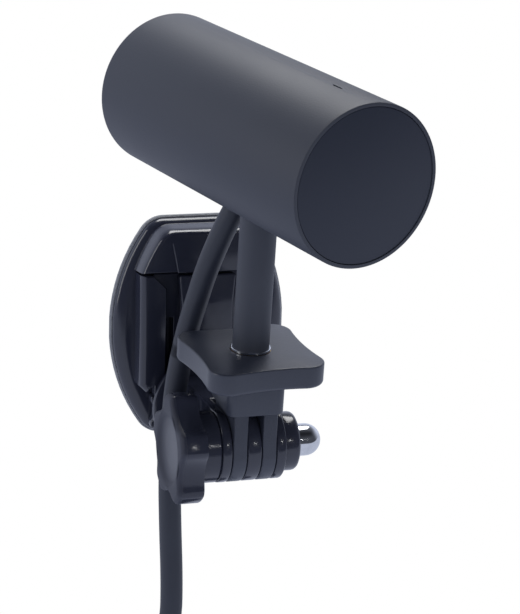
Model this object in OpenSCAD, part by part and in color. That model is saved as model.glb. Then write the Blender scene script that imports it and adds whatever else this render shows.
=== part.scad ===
// Backup camera: a round metal camera on a post, clamped to a two-prong adapter,
// hinged on a three-finger buckle that slides into a stick-on wall plate.
// The wall plane is Y = 0, the camera stands off towards -Y, and +Z is up.

/* [Pose] */
// Forward lean of the camera and its adapter about the hinge
arm_tilt = 6.5; // [2:0.5:12]
// Turn of the camera about its post
head_swivel = 15.2; // [-20:0.1:20]

/* [Wall plate] */
// Width of the plate and of its adhesive pad
plate_w = 39.2; // [37:0.2:48]
// Height of the plate and of its adhesive pad
plate_h = 48.5; // [48:0.5:58]
// Radius of the plate's bowed sides
side_r = 38; // [32:1:60]
// Radius of the plate's corners
corner_r = 6; // [5:0.5:8]
// Thickness of the adhesive foam
pad_t = 1.2; // [0.8:0.1:2]
// Thickness of the plate's floor
floor_t = 2.2; // [1.8:0.1:3]
// Height of the rails and end block above the floor
rail_h = 5.3; // [4.6:0.1:6]
// Width of each rail, seen from the front
rail_w = 5.6; // [5:0.1:6]
// Clear width between the two rails' lips
lip_gap = 18; // [17.6:0.1:18.4]

/* [Buckle] */
// Width of the raised panel along the buckle
panel_w = 11.6; // [10:0.2:14]
// Distance from the wall to the hinge
hinge_out = 37; // [35:0.5:44]
// Height of the hinge below the middle of the plate
hinge_drop = 16.3; // [14:0.1:18]
// Diameter of the buckle's and adapter's fingers
finger_d = 15; // [14:0.5:16]
// Distance between the middles of the two prongs
prong_pitch = 6.2; // [6:0.1:6.4]
// Thickness of each prong
prong_t = 3; // [2.8:0.1:3.1]

/* [Thumbscrew] */
// Diameter across the knob's lobes
knob_d = 23; // [20:0.2:24]
// Number of lobes
knob_lobes = 5; // [5:1:7]
// Length of the lobed part of the knob
knob_len = 5.8; // [5:0.1:7]
// Diameter of the screw
screw_d = 4.9; // [4.8:0.05:5]

/* [Adapter and lock nut] */
// Width of the adapter's block
block_w = 12; // [11:0.2:13]
// Depth of the adapter's block
block_d = 13.6; // [12:0.2:14]
// Height of the block's underside above the hinge
collar_z = 8.8; // [8.6:0.1:10]
// Height of the block's top above the hinge
collar_top = 16.15; // [15.5:0.05:16.5]
// Diameter across the lock nut's lobes
nut_d = 31.6; // [29:0.2:32]
// Number of lobes on the lock nut
nut_lobes = 4; // [4:1:5]
// Height of the lock nut's top above the hinge
nut_top = 21; // [20:0.1:21.2]
// Diameter of the stud
stud_d = 6; // [5:0.1:6.4]

/* [Post and tube] */
// Diameter of the post
post_d = 7.5; // [7:0.1:8]
// Height of the camera's axis above the hinge
tube_z = 65.75; // [62:0.25:70]
// Outer diameter of the camera tube
tube_d = 31.9; // [30:0.1:33]
// Wall of the camera tube
tube_wall = 1.2; // [1:0.1:1.4]
// Length of the tube behind the post, to its plain rear end
tube_rear = 34.6; // [32:0.2:36]
// Length of the tube ahead of the post, to its lens end
tube_front = 37.4; // [36:0.2:39]
// Distance from the post's axis to the cable's axis
cable_back = 8.5; // [8.4:0.1:9]

/* [Cable] */
// Diameter of the cable
cable_d = 4.8; // [4.6:0.1:5]
// Mean radius of the coil's outer layer
coil_r_out = 29.9; // [29.5:0.1:30.5]
// Mean radius of the coil's inner layer
coil_r_in = 25; // [24.6:0.1:25.1]

/* [Hidden] */
$fn = 96;
plate_front = pad_t + floor_t;
rail_front = plate_front + rail_h;
rail_in = lip_gap / 2;
rail_out = rail_in + rail_w;
rail_top = 12.8;
rail_bottom = -13;
rail_wall = 3;
lip_t = 2;
channel_x = rail_out - rail_wall;
block_bottom = 13.3;
block_side = 2.25;
block_head = 1.35;
block_corner = 5;
slide_gap = 0.2;

tongue_top = rail_top - 0.1;
tongue_bottom = -22;
tongue_x = channel_x - slide_gap;
tongue_core_x = 6.9;
tongue_split_z = 3;
tongue_back = plate_front + slide_gap;
tongue_front = rail_front - lip_t - 0.3;
flange_r = 12;
flange_t = 1.5;
flange_back = rail_front + 0.3;
neck_bottom_w = 11;

finger_r = finger_d / 2;
middle_x = (prong_pitch - prong_t) / 2;
side_gap = 0.1;
outer_x0 = (prong_pitch + prong_t) / 2 + side_gap;
outer_x1 = 6.8;
slot_back = finger_r + 0.8;
screw_bore = screw_d + 0.15;
boss_d = 12.2;
boss_x = 10.4;
nut_af = 7.8;
hex_scale = 2 / sqrt(3);
acorn_x0 = 7.2;
acorn_x1 = 10.3;
dome_r = 3.35;
dome_cyl = 2.6;

knob_x = -16.5;
knob_in = knob_x + knob_len;
knob_phase = 20;
dish_r = 7.6;
dish_depth = 0.9;
knob_collar_r = 7.4;
screw_x0 = -13.5;
screw_x1 = 12.8;

latch_x0 = 8.9;
latch_t = 1.9;
latch_top = tongue_split_z - 0.3;
latch_pad_x = 12.2;
latch_pad_top = rail_bottom - 1;
latch_pad_bottom = -22.8;

post_ring_z = nut_top + 0.1;
post_ring_t = 0.3;
post_ring_r = 4.1;
post_z0 = post_ring_z + post_ring_t;
post_z1 = 53.2;
stud_z0 = 12.6;
stud_z1 = 28;
insert_r = 4.4;

tube_r = tube_d / 2;
bore_r = tube_r - tube_wall;
gasket_t = 0.6;
saddle_r = bore_r - 0.05 - gasket_t;
inside_z = tube_z - saddle_r;
edge_r = 1.2;
lip_r = 11.6;
lip_len = 2;
glass_t = 1.6;
seal_t = 0.5;
glass_y1 = tube_front - lip_len - seal_t;
glass_y0 = glass_y1 - glass_t;
retainer_t = 2.2;
mask_y0 = glass_y0 - retainer_t - 0.8;
cap_rim_r = tube_r - 0.8;
cap_rim_t = 0.8;
cap_recess = 0.05;
cap_t = 3;
cap_y1 = -tube_rear + cap_recess + cap_t;
sensor_y = 16;
sensor_board_t = 1.2;
board_y0 = -28;
board_y1 = 8;
board_x = 11.5;
board_t = 1.6;
board_z = tube_z - 6.6;
bulkhead_y = 9.5;
slot_y = -24.7;
slot_len = 3;
slot_w = 0.5;

cable_r = cable_d / 2;
grommet_r = 3.2;
grommet_z0 = 49.3;
cable_sides = 12;
coil_x = -6.5;
coil_z = -104;
coil_y0 = -16.5;
coil_y1 = -4.3;
tail_y = -21.4;
tail_x = coil_x - coil_r_in;
tail_end = -142;
coil_skin = 0.05;

// The cable's way from the grommet to behind the lock nut
upper_route = [
    [-2.2, -34.4, 33.1], [-2.79, -33.77, 31.39], [-3.84, -32.6, 28.45], [-4.83, -31.05, 24.87],
    [-5.78, -29.14, 20.74], [-6.52, -27.21, 16.6], [-7.1, -25.39, 12.47], [-7.74, -23.78, 8.4],
    [-8.35, -22.68, 4.78], [-8.85, -21.78, 1.36]
];
// On past the hinge, down, and into the coil
lower_route = [
    [-8.85, -21.78, 1.26], [-9.16, -21.18, -1.25], [-9.58, -20.65, -4.64], [-10.03, -20.22, -8.61],
    [-10.42, -20.14, -13.53], [-10.74, -20.34, -18.42], [-11.08, -20.73, -24.27], [-11.2, -21.06, -30.12],
    [-11.08, -21.24, -36.02], [-10.8, -21.1, -42], [-10.5, -21, -48], [-10.3, -20.8, -54],
    [-10.3, -20.4, -59], [-10.9, -19.5, -64], [-12.6, -18.6, -69], [-15.3, -17.7, -73.4],
    [-19.2, -16.9, -76.7], [-21.4, -16.5, -78.1]
];
// From the coil down to the connector
tail_route = [
    [tail_x, tail_y, coil_z], [tail_x, tail_y, -112], [tail_x, tail_y, -122],
    [tail_x, tail_y, -132], [tail_x, tail_y, tail_end]
];
// The four wires' way from the end of the cable to the board's plug
wire_route = [[0, 8.5, 54.6], [0, 8, 56], [0, 6.4, 57.3], [0, 5, 57.3]];

// ---- places ----

module at_hinge() { translate([0, -hinge_out, -hinge_drop]) children(); }

module in_arm() { at_hinge() rotate([arm_tilt, 0, 0]) children(); }

module in_head() { in_arm() rotate([0, 0, head_swivel]) children(); }

// Local Z runs along the camera tube towards the lens, and local -Y is up
module in_tube() { in_head() translate([0, 0, tube_z]) rotate([-90, 0, 0]) children(); }

// A piece standing on Y = -from, with its outline drawn in X and Z
module on_wall(from, thick) {
    translate([0, -from, 0]) rotate([90, 0, 0]) linear_extrude(thick) children();
}

module rod_x(x0, x1, r) {
    translate([x0, 0, 0]) rotate([0, 90, 0]) cylinder(h = x1 - x0, r = r);
}

module ring(z0, z1, r_in, r_out) {
    translate([0, 0, z0]) difference() {
        cylinder(h = z1 - z0, r = r_out);
        translate([0, 0, -1]) cylinder(h = z1 - z0 + 2, r = r_in);
    }
}

module disc(z0, z1, r) { translate([0, 0, z0]) cylinder(h = z1 - z0, r = r); }

// ---- shared outlines ----

function on_circle(x, y, r, from, to, steps) = [
    for (i = [0:steps]) let (t = from + (to - from) * i / steps) [x + r * cos(t), y + r * sin(t)]
];

// Level top and bottom, bowed sides and round corners, all tangent
module barrel_outline(w, h, corner, inset) {
    zc = h / 2 - corner;
    xs = side_r - w / 2;
    xc = sqrt(pow(side_r - corner, 2) - zc * zc) - xs;
    turn = asin(zc / (side_r - corner));
    r = corner - inset;
    polygon(concat(
        on_circle(-xs, 0, side_r - inset, -turn, turn, 16),
        on_circle(xc, zc, r, turn + 6, 90, 7),
        on_circle(-xc, zc, r, 90, 174 - turn, 7),
        on_circle(xs, 0, side_r - inset, 180 - turn, 180 + turn, 16),
        on_circle(-xc, -zc, r, 186 + turn, 270, 7),
        on_circle(xc, -zc, r, 270, 354 - turn, 7)
    ));
}

module plate_outline(inset) { barrel_outline(plate_w, plate_h, corner_r, inset); }

function turned(p, a) = [p[0] * cos(a) - p[1] * sin(a), p[0] * sin(a) + p[1] * cos(a)];

// Round lobes joined by hollow arcs that are tangent to them
module lobed_outline(lobes, r_tip, r_lobe, r_valley, phase) {
    half = 180 / lobes;
    reach = r_tip - r_lobe;
    a = reach * sin(half);
    b = reach * cos(half);
    k = r_valley - b;
    r_hollow = (k * k + a * a - r_lobe * r_lobe) / (2 * (r_lobe - k));
    q = r_valley + r_hollow;
    lobe_span = atan2(q * sin(half), q * cos(half) - reach);
    hollow_span = atan2(a, q - b);
    steps = 10;
    rotate(phase) polygon([for (i = [0:lobes - 1]) each concat(
        [for (j = [0:steps]) let (t = lobe_span * (2 * j / steps - 1))
            turned([reach + r_lobe * cos(t), r_lobe * sin(t)], 2 * i * half)],
        [for (j = [1:steps - 1]) let (t = 180 + hollow_span * (1 - 2 * j / steps))
            turned([q + r_hollow * cos(t), r_hollow * sin(t)], (2 * i + 1) * half)]
    )]);
}

// ---- cable sweep ----

function unit(v) = v / norm(v);
function way(p, i) = unit(p[min(i + 1, len(p) - 1)] - p[max(i - 1, 0)]);
function side_of(d) = unit(cross(d, [0, 1, 0.2]));
function sweep_points(p, r, n) = [
    for (i = [0:len(p) - 1])
        let (d = way(p, i), s = side_of(d), u = cross(d, s))
        for (k = [0:n - 1]) p[i] + r * (cos(360 * k / n) * s + sin(360 * k / n) * u)
];
function sweep_faces(rings, n) = concat(
    [[for (k = [0:n - 1]) k]],
    [for (i = [0:rings - 2], k = [0:n - 1])
        [i * n + k, (i + 1) * n + k, (i + 1) * n + (k + 1) % n, i * n + (k + 1) % n]],
    [[for (k = [n - 1:-1:0]) (rings - 1) * n + k]]
);

module swept(route, r, sides) {
    polyhedron(sweep_points(route, r, sides), sweep_faces(len(route), sides), 4);
}

// ---- wall plate ----

module adhesive_pad() {
    color("#5a5f6b") on_wall(0, pad_t) plate_outline(0);
}

module rail() {
    on_wall(plate_front, rail_h) polygon([
        [channel_x, rail_bottom + 1.5], [rail_out - 1.5, rail_bottom], [rail_out, rail_bottom + 1.5],
        [rail_out, rail_top], [channel_x, rail_top]
    ]);
    on_wall(rail_front - lip_t, lip_t) polygon([
        [rail_in, rail_bottom + 1.5], [channel_x, rail_bottom + 1.5], [channel_x, rail_top],
        [rail_in + 2.2, rail_top], [rail_in, rail_top - 2.6]
    ]);
}

module base_plate() {
    color("#191b26") {
        on_wall(pad_t, floor_t) plate_outline(0.5);
        on_wall(plate_front, rail_h) intersection() {
            barrel_outline(plate_w - 2 * block_side, plate_h - 2 * block_head, block_corner, 0);
            translate([-plate_w, block_bottom]) square([2 * plate_w, plate_h]);
        }
        rail();
        mirror([1, 0, 0]) rail();
    }
}

// ---- buckle ----

module finger(x0, x1) {
    rod_x(x0, x1, finger_r);
    translate([x0, 0, -finger_r]) cube([x1 - x0, slot_back + 1, finger_d]);
}

module buckle_neck() {
    depth = hinge_out - flange_back - slot_back;
    translate([-outer_x1, slot_back, 0]) rotate([90, 0, 90]) linear_extrude(2 * outer_x1)
        polygon([[0, finger_r], [depth, finger_r], [depth, -neck_bottom_w / 2], [0, -finger_r]]);
}

module slide_buckle() {
    color("#191b26") difference() {
        union() {
            on_wall(tongue_back, tongue_front - tongue_back) {
                translate([-tongue_core_x, tongue_bottom])
                    square([2 * tongue_core_x, tongue_top - tongue_bottom]);
                translate([-tongue_x, tongue_split_z])
                    square([2 * tongue_x, tongue_top - tongue_split_z]);
            }
            on_wall(tongue_front, flange_back - tongue_front)
                translate([-panel_w / 2, tongue_bottom])
                    square([panel_w, tongue_top - tongue_bottom]);
            on_wall(flange_back, flange_t) translate([0, -hinge_drop]) circle(flange_r);
            at_hinge() {
                buckle_neck();
                finger(-middle_x + side_gap, middle_x - side_gap);
                finger(outer_x0, outer_x1);
                finger(-outer_x1, -outer_x0);
                rod_x(outer_x1 - 0.5, boss_x, boss_d / 2);
            }
        }
        at_hinge() {
            rod_x(-outer_x1 - 1, acorn_x0, screw_bore / 2);
            translate([acorn_x0 - 0.05, 0, 0]) rotate([0, 90, 0])
                cylinder(h = 6, r = (nut_af + 0.2) / 2 * hex_scale, $fn = 6);
        }
    }
}

module latch() {
    on_wall(tongue_back, tongue_front - tongue_back) {
        translate([latch_x0, latch_pad_bottom + 2]) square([latch_t, latch_top - latch_pad_bottom - 2]);
        difference() {
            translate([latch_x0 + 0.6, latch_pad_bottom])
                square([latch_pad_x - latch_x0 - 0.6, latch_pad_top - latch_pad_bottom]);
            translate([latch_pad_x + 3.2, (latch_pad_top + latch_pad_bottom) / 2]) circle(4);
        }
    }
}

module latch_left() { color("#191b26") mirror([1, 0, 0]) latch(); }

module latch_right() { color("#191b26") latch(); }

module acorn_nut() {
    color("#d8dadd") at_hinge() difference() {
        union() {
            translate([acorn_x0, 0, 0]) rotate([0, 90, 0])
                cylinder(h = acorn_x1 - acorn_x0, r = nut_af / 2 * hex_scale, $fn = 6);
            rod_x(acorn_x1, acorn_x1 + dome_cyl, dome_r);
            translate([acorn_x1 + dome_cyl, 0, 0]) sphere(dome_r);
        }
        rod_x(acorn_x0 - 1, screw_x1 + 0.3, screw_bore / 2);
    }
}

// ---- thumbscrew ----

module thumbscrew_knob() {
    color("#191b26") at_hinge() difference() {
        union() {
            translate([knob_x, 0, 0]) rotate([90, 0, 90]) linear_extrude(knob_len)
                lobed_outline(knob_lobes, knob_d / 2, 3, 9.1, 180 - knob_phase);
            rod_x(knob_in, -outer_x1 - side_gap, knob_collar_r);
        }
        rod_x(knob_x - 1, knob_x + dish_depth, dish_r);
        rod_x(screw_x0, 0, screw_d / 2);
    }
}

module thumbscrew_shank() {
    color("#b9bcc2") at_hinge() rod_x(screw_x0, screw_x1, screw_d / 2);
}

// ---- adapter and lock nut ----

module adapter_outline() {
    r = 1.8;
    x = block_w / 2 - r;
    y = block_d / 2 - r;
    polygon(concat(on_circle(x, y, r, 0, 90, 6), on_circle(-x, y, r, 90, 180, 6),
        on_circle(-x, -y, r, 180, 270, 6), on_circle(x, -y, r, 270, 360, 6)));
}

module adapter() {
    color("#464a57") in_arm() difference() {
        union() {
            for (s = [-1, 1]) {
                x0 = s * prong_pitch / 2 - prong_t / 2;
                rod_x(x0, x0 + prong_t, finger_r);
                translate([x0, -block_d / 2, 0]) cube([prong_t, block_d, collar_z + 0.2]);
            }
            translate([0, 0, collar_z]) linear_extrude(collar_top - collar_z) adapter_outline();
        }
        rod_x(-10, 10, screw_bore / 2);
        disc(stud_z0, collar_top + 1, stud_d / 2);
    }
}

module adapter_stud() {
    color("#b9bcc2") in_arm() disc(stud_z0, stud_z1, stud_d / 2);
}

module lock_nut() {
    color("#464a57") in_arm() difference() {
        translate([0, 0, collar_top + 0.1]) linear_extrude(nut_top - collar_top - 0.1)
            lobed_outline(nut_lobes, nut_d / 2, 4, 11.7, 50);
        disc(collar_top, nut_top + 1, insert_r);
    }
}

module lock_nut_insert() {
    color("#c9a24b") in_arm() ring(collar_top + 0.1, nut_top, stud_d / 2 + 0.06, insert_r);
}

// ---- post ----

module post_ring() {
    color("#d8dadd") in_head()
        ring(post_ring_z, post_ring_z + post_ring_t, stud_d / 2 + 0.06, post_ring_r);
}

module mounting_post() {
    color("#4a4f5c") in_head() difference() {
        disc(post_z0, post_z1, post_d / 2);
        disc(post_z0 - 1, stud_z1 + 1, stud_d / 2 + 0.06);
        disc(46, post_z1 + 1, 1.9);
    }
}

module post_screw() {
    color("#b9bcc2") in_head() difference() {
        union() {
            disc(46.5, post_z1 + 1.2, 1.9);
            disc(post_z1 + 1.2, post_z1 + 3.1, 3.4);
        }
        translate([0, 0, post_z1 + 2]) cylinder(h = 3, r = 1.7, $fn = 6);
    }
}

// A block lying on the inside of the tube's lower wall, within the children's outline
module saddle(top_z) {
    intersection() {
        in_head() linear_extrude(top_z) children();
        in_tube() disc(-tube_rear, tube_front, saddle_r);
    }
}

module post_socket() {
    color("#8d9199") difference() {
        saddle(post_z1 + 1.2) translate([-6.5, -6]) square([13, 10.4]);
        in_head() disc(40, post_z1, post_d / 2);
        in_head() disc(40, post_z1 + 2, 1.95);
    }
}

module entry_gasket() {
    color("#23252c") difference() {
        intersection() {
            in_tube() ring(-8, 14, saddle_r, saddle_r + gasket_t);
            in_head() translate([-7, -8, 40]) cube([14, 22, 16]);
        }
        in_head() disc(40, 60, post_d / 2);
        in_head() translate([0, cable_back, 0]) disc(40, 60, grommet_r);
    }
}

// ---- camera housing ----

module camera_tube() {
    color("#50545f") difference() {
        in_tube() rotate_extrude() difference() {
            union() {
                translate([0, -tube_rear]) square([tube_r, tube_rear + tube_front - edge_r]);
                translate([0, tube_front - edge_r]) square([tube_r - edge_r, edge_r]);
                intersection() {
                    translate([tube_r - edge_r, tube_front - edge_r]) circle(edge_r);
                    translate([0, -tube_rear]) square([tube_r, tube_rear + tube_front]);
                }
            }
            translate([0, -tube_rear - 1])
                square([bore_r, tube_rear + tube_front - lip_len + 1]);
            translate([0, -tube_rear - 1]) square([cap_rim_r, cap_rim_t + 1]);
            square([lip_r, tube_front + 1]);
        }
        in_head() disc(40, 56, post_d / 2 + 0.05);
        in_head() translate([0, cable_back, 0]) disc(40, 56, grommet_r);
        in_head() translate([-slot_w / 2, slot_y, tube_z]) cube([slot_w, slot_len, 20]);
    }
}

module indicator_lens() {
    color("#16181d") in_head() translate([-slot_w / 2, slot_y, tube_z + bore_r - 0.6])
        cube([slot_w, slot_len, tube_wall + 0.3]);
}

module rear_cap() {
    color("#2c313d") in_tube() difference() {
        union() {
            disc(-tube_rear + cap_recess, cap_y1, bore_r);
            disc(-tube_rear + cap_recess, -tube_rear + cap_rim_t, cap_rim_r);
        }
        ring(cap_y1 - 1.9, cap_y1 - 0.7, bore_r - 1.1, bore_r + 1);
        disc(cap_y1 - 1, cap_y1 + 1, bore_r - 3);
    }
}

module rear_seal() {
    color("#1c1d20") in_tube() rotate_extrude()
        translate([bore_r - 0.55, cap_y1 - 1.3]) circle(0.54);
}

module front_seal() {
    color("#1c1d20") in_tube() ring(glass_y1, glass_y1 + seal_t, lip_r + 0.2, bore_r - 0.05);
}

module cover_glass() {
    color("#39414d") in_tube() disc(glass_y0, glass_y1, bore_r - 0.2);
}

module glass_retainer() {
    color("#26282f") in_tube() ring(glass_y0 - retainer_t, glass_y0, bore_r - 2.4, bore_r - 0.05);
}

module lens_mask() {
    color("#111216") in_tube() ring(mask_y0, mask_y0 + 0.8, 7.6, bore_r - 0.2);
}

// ---- lens and sensor ----

module lens_barrel() {
    color("#1a1b1f") in_tube() difference() {
        union() {
            disc(28.4, glass_y0 - 0.4, 7.2);
            disc(20.2, 28.4, 6);
        }
        disc(19, glass_y0, 4.3);
        disc(28.9, glass_y0 + 1, 6.2);
    }
}

module front_lens() {
    color("#5d7185") in_tube() intersection() {
        disc(28.9, glass_y0 - 0.5, 6.2);
        translate([0, 0, 23.4]) sphere(9.4);
    }
}

module inner_lenses() {
    color("#5d7185") in_tube() {
        disc(25.2, 27.6, 4.3);
        disc(21.6, 23.6, 4.3);
    }
}

module lens_holder() {
    color("#1a1b1f") in_tube() difference() {
        translate([-8, -8, sensor_y + sensor_board_t]) cube([16, 16, 8.4]);
        disc(19.6, 27, 6);
        translate([-5.6, -5.6, sensor_y]) cube([11.2, 11.2, 3.7]);
        at_sensor_holes() disc(sensor_y + sensor_board_t - 0.1, 27, 1.9);
    }
}

module image_sensor() {
    color("#3c4a3a") in_tube() translate([-4.6, -4, sensor_y + sensor_board_t]) cube([9.2, 8, 1.3]);
}

module at_sensor_holes() {
    for (a = [45:90:315]) rotate(a) translate([11.6, 0, 0]) children();
}

module sensor_board() {
    color("#1f5b3c") in_tube() difference() {
        disc(sensor_y, sensor_y + sensor_board_t, 13.8);
        at_sensor_holes() disc(sensor_y - 1, sensor_y + 3, 1.1);
    }
}

module sensor_spacers() {
    color("#b08d3c") in_tube() at_sensor_holes() ring(bulkhead_y + 1.5, sensor_y, 1.05, 1.8);
}

module sensor_screws() {
    color("#b9bcc2") in_tube() at_sensor_holes() {
        disc(bulkhead_y + 0.2, sensor_y + sensor_board_t, 1);
        disc(sensor_y + sensor_board_t, sensor_y + sensor_board_t + 1.1, 1.7);
    }
}

// ---- boards ----

module board_cradle() {
    color("#3a3d45") difference() {
        union() {
            in_tube() ring(bulkhead_y, bulkhead_y + 1.5, 8, 14.3);
            intersection() {
                in_tube() disc(board_y0 - 0.5, bulkhead_y, 14.3);
                in_head() for (s = [-1, 1]) translate([s * 12.2 - 1.8, board_y0 - 0.5, board_z - 2])
                    cube([3.6, bulkhead_y - board_y0 + 0.5, board_t + 4]);
            }
        }
        in_head() translate([-board_x - 0.1, board_y0 - 1, board_z])
            cube([2 * board_x + 0.2, board_y1 - board_y0 + 1.1, board_t]);
        in_tube() at_sensor_holes() disc(bulkhead_y - 1, bulkhead_y + 2, 1);
        in_head() translate([-4.3, bulkhead_y - 1, inside_z - 2]) cube([8.6, 4, 5.6]);
        intersection() {
            in_tube() ring(bulkhead_y - 1, bulkhead_y + 3, saddle_r - 0.1, bore_r + 1);
            in_head() translate([-7.3, 0, 40]) cube([14.6, 20, 16]);
        }
    }
}

module main_board() {
    color("#1f5b3c") in_head() translate([-board_x, board_y0, board_z])
        cube([2 * board_x, board_y1 - board_y0, board_t]);
}

module board_chips() {
    color("#202226") in_head() translate([0, 0, board_z + board_t]) {
        translate([-6, -12, 0]) cube([12, 12, 1.4]);
        translate([-7, -24, 0]) cube([6, 8, 1.1]);
        translate([2, -23, 0]) cube([5, 5, 2.2]);
        for (i = [0:3]) translate([-7 + 4 * i, 3, 0]) cube([2.4, 1.6, 1.2]);
    }
}

module board_plug() {
    color("#e6e2d6") in_head() translate([-4, 0.6, board_z - 2.6]) cube([8, 4.4, 2.6]);
}

module inner_wires() {
    color("#a13a34") in_head() for (x = [-2.1:1.4:2.1])
        swept([for (p = wire_route) [x * (1 - 0.25 * (p[2] < 55 ? 1 : 0)), p[1], p[2]]], 0.5, 8);
}

// ---- cable ----

module cable_stub() {
    color("#26282f") in_head() translate([0, cable_back, 0]) disc(grommet_z0, 54.6, cable_r);
}

module cable_grommet() {
    color("#1c1d20") difference() {
        union() {
            in_head() translate([0, cable_back, 0]) disc(grommet_z0, inside_z + 0.8, grommet_r);
            saddle(inside_z + 1.8) translate([0, cable_back]) circle(3.9);
        }
        in_head() translate([0, cable_back, 0]) disc(40, 60, cable_r);
    }
}

module cable_upper() { color("#26282f") swept(upper_route, cable_r, cable_sides); }

module cable_lower() { color("#26282f") swept(lower_route, cable_r, cable_sides); }

module cable_tail() { color("#26282f") swept(tail_route, cable_r, cable_sides); }

// Local Z runs along the coil's axis, away from the wall
module in_coil() { translate([coil_x, 0, coil_z]) rotate([90, 0, 0]) children(); }

module coil_section(skin) {
    translate([coil_r_in - cable_r - skin, -coil_y1 - cable_r - skin])
        square([coil_r_out - coil_r_in + cable_d + 2 * skin,
                coil_y1 - tail_y + cable_d + 2 * skin]);
}

module cable_coil() { color("#26282f") in_coil() rotate_extrude() coil_section(0); }

module coil_tie() {
    color("#15161a") in_coil() rotate([0, 0, 70]) rotate_extrude(angle = 18) difference() {
        coil_section(1.1);
        coil_section(coil_skin);
    }
}

// ---- connector ----

module in_connector() { translate([tail_x, tail_y, tail_end]) children(); }

module connector_boot() {
    color("#1c1d20") in_connector() rotate_extrude()
        polygon([[0, -14], [5.2, -14], [5.2, -12.5], [3.4, 0], [0, 0]]);
}

module connector_shell() {
    color("#b9bcc2") in_connector() difference() {
        union() {
            disc(-20, -14, 6.4);
            disc(-34, -20, 5);
        }
        disc(-35, -23, 4.2);
    }
}

module connector_ring() {
    color("#a4a7ad") in_connector() ring(-32, -20.2, 5.05, 7.2);
}

module connector_insert() { color("#1c1d20") in_connector() disc(-26, -23, 4.2); }

module connector_pins() {
    color("#c9a24b") in_connector() for (a = [0:90:270]) rotate(a)
        translate([2.2, 0, 0]) disc(-32, -26, 0.6);
}

adhesive_pad();
base_plate();
slide_buckle();
latch_left();
latch_right();
acorn_nut();
thumbscrew_knob();
thumbscrew_shank();
adapter();
adapter_stud();
lock_nut();
lock_nut_insert();
post_ring();
mounting_post();
post_screw();
post_socket();
entry_gasket();
camera_tube();
indicator_lens();
rear_cap();
rear_seal();
front_seal();
cover_glass();
glass_retainer();
lens_mask();
lens_barrel();
front_lens();
inner_lenses();
lens_holder();
image_sensor();
sensor_board();
sensor_spacers();
sensor_screws();
board_cradle();
main_board();
board_chips();
board_plug();
inner_wires();
cable_stub();
cable_grommet();
cable_upper();
cable_lower();
cable_coil();
coil_tie();
cable_tail();
connector_boot();
connector_shell();
connector_ring();
connector_insert();
connector_pins();
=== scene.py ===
"""A vehicle backup camera: a round metal camera on a post, held by a lock nut on a
two-prong adapter, hinged with a thumbscrew on a buckle that slides into a stick-on plate.

The pieces are made in the order in which they are put together, the viewpoint and
the cable first. Everything is in metres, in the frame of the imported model.
"""

import math

import bmesh
import bpy
from mathutils import Matrix, Vector


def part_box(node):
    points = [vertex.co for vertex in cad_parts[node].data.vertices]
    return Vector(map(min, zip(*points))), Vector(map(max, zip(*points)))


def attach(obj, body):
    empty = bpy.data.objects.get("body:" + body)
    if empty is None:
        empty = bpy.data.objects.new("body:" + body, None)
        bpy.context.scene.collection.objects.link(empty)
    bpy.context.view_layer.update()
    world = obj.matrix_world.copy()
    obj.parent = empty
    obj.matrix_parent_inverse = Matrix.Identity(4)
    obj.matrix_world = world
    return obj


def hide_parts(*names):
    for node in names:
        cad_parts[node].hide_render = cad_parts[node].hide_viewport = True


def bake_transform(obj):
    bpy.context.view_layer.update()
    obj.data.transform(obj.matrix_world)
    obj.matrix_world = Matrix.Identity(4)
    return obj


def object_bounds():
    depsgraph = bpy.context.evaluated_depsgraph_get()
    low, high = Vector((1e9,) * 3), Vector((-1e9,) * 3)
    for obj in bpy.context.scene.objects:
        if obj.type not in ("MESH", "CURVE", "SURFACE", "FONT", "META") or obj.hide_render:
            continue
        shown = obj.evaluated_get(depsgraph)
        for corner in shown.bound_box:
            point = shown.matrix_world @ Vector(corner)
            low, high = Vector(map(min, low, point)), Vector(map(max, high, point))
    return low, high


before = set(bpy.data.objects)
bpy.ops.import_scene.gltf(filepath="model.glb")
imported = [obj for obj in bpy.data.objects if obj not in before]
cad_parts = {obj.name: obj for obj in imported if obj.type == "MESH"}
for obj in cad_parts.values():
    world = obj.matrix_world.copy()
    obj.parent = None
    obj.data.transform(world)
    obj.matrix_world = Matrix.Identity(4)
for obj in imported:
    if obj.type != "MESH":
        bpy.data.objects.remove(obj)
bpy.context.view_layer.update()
MM = 0.001

# === The viewpoint ===
# The camera looks slightly down on the hinge from its left, with a long lens.
# The hinge is where the thumbscrew's shank runs, on the object's middle plane.
shank_low, shank_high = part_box("thumbscrew_shank")
hinge = Vector((0, (shank_low.y + shank_high.y) / 2, (shank_low.z + shank_high.z) / 2))

azimuth, elevation, roll = math.radians(-18.2), math.radians(14.4), math.radians(1.6)
aim_right, aim_up, distance = 3.21 * MM, 28.04 * MM, 0.468
back = Vector((
    math.sin(azimuth) * math.cos(elevation),
    -math.cos(azimuth) * math.cos(elevation),
    math.sin(elevation),
))
level = Vector((math.cos(azimuth), math.sin(azimuth), 0))
upright = back.cross(level)
right = level * math.cos(roll) + upright * math.sin(roll)
up = upright * math.cos(roll) - level * math.sin(roll)
aim = hinge + right * aim_right + up * aim_up

eye_data = bpy.data.cameras.new("viewpoint")
eye_data.lens = 133.7
eye_data.sensor_width = 36
eye_data.clip_start = 0.01
eye = bpy.data.objects.new("viewpoint", eye_data)
eye_axes = Matrix((right, up, back)).transposed().to_4x4()
eye.matrix_world = Matrix.Translation(aim + back * distance) @ eye_axes
bpy.context.scene.collection.objects.link(eye)
bpy.context.scene.camera = eye

# === Cable ===
# A round lead with an extruded PVC jacket, out of the tube's underside, down behind
# the lock nut and the thumbscrew, and into a hanging coil that ends in a plug.
cable_d = 4.8 * MM
coil_x, coil_z = -6.5, -104
coil_out, coil_in = 29.9, 25
coil_y_start, coil_y_wall, coil_y_end = -16.5, -4.3, -21.4

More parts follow.
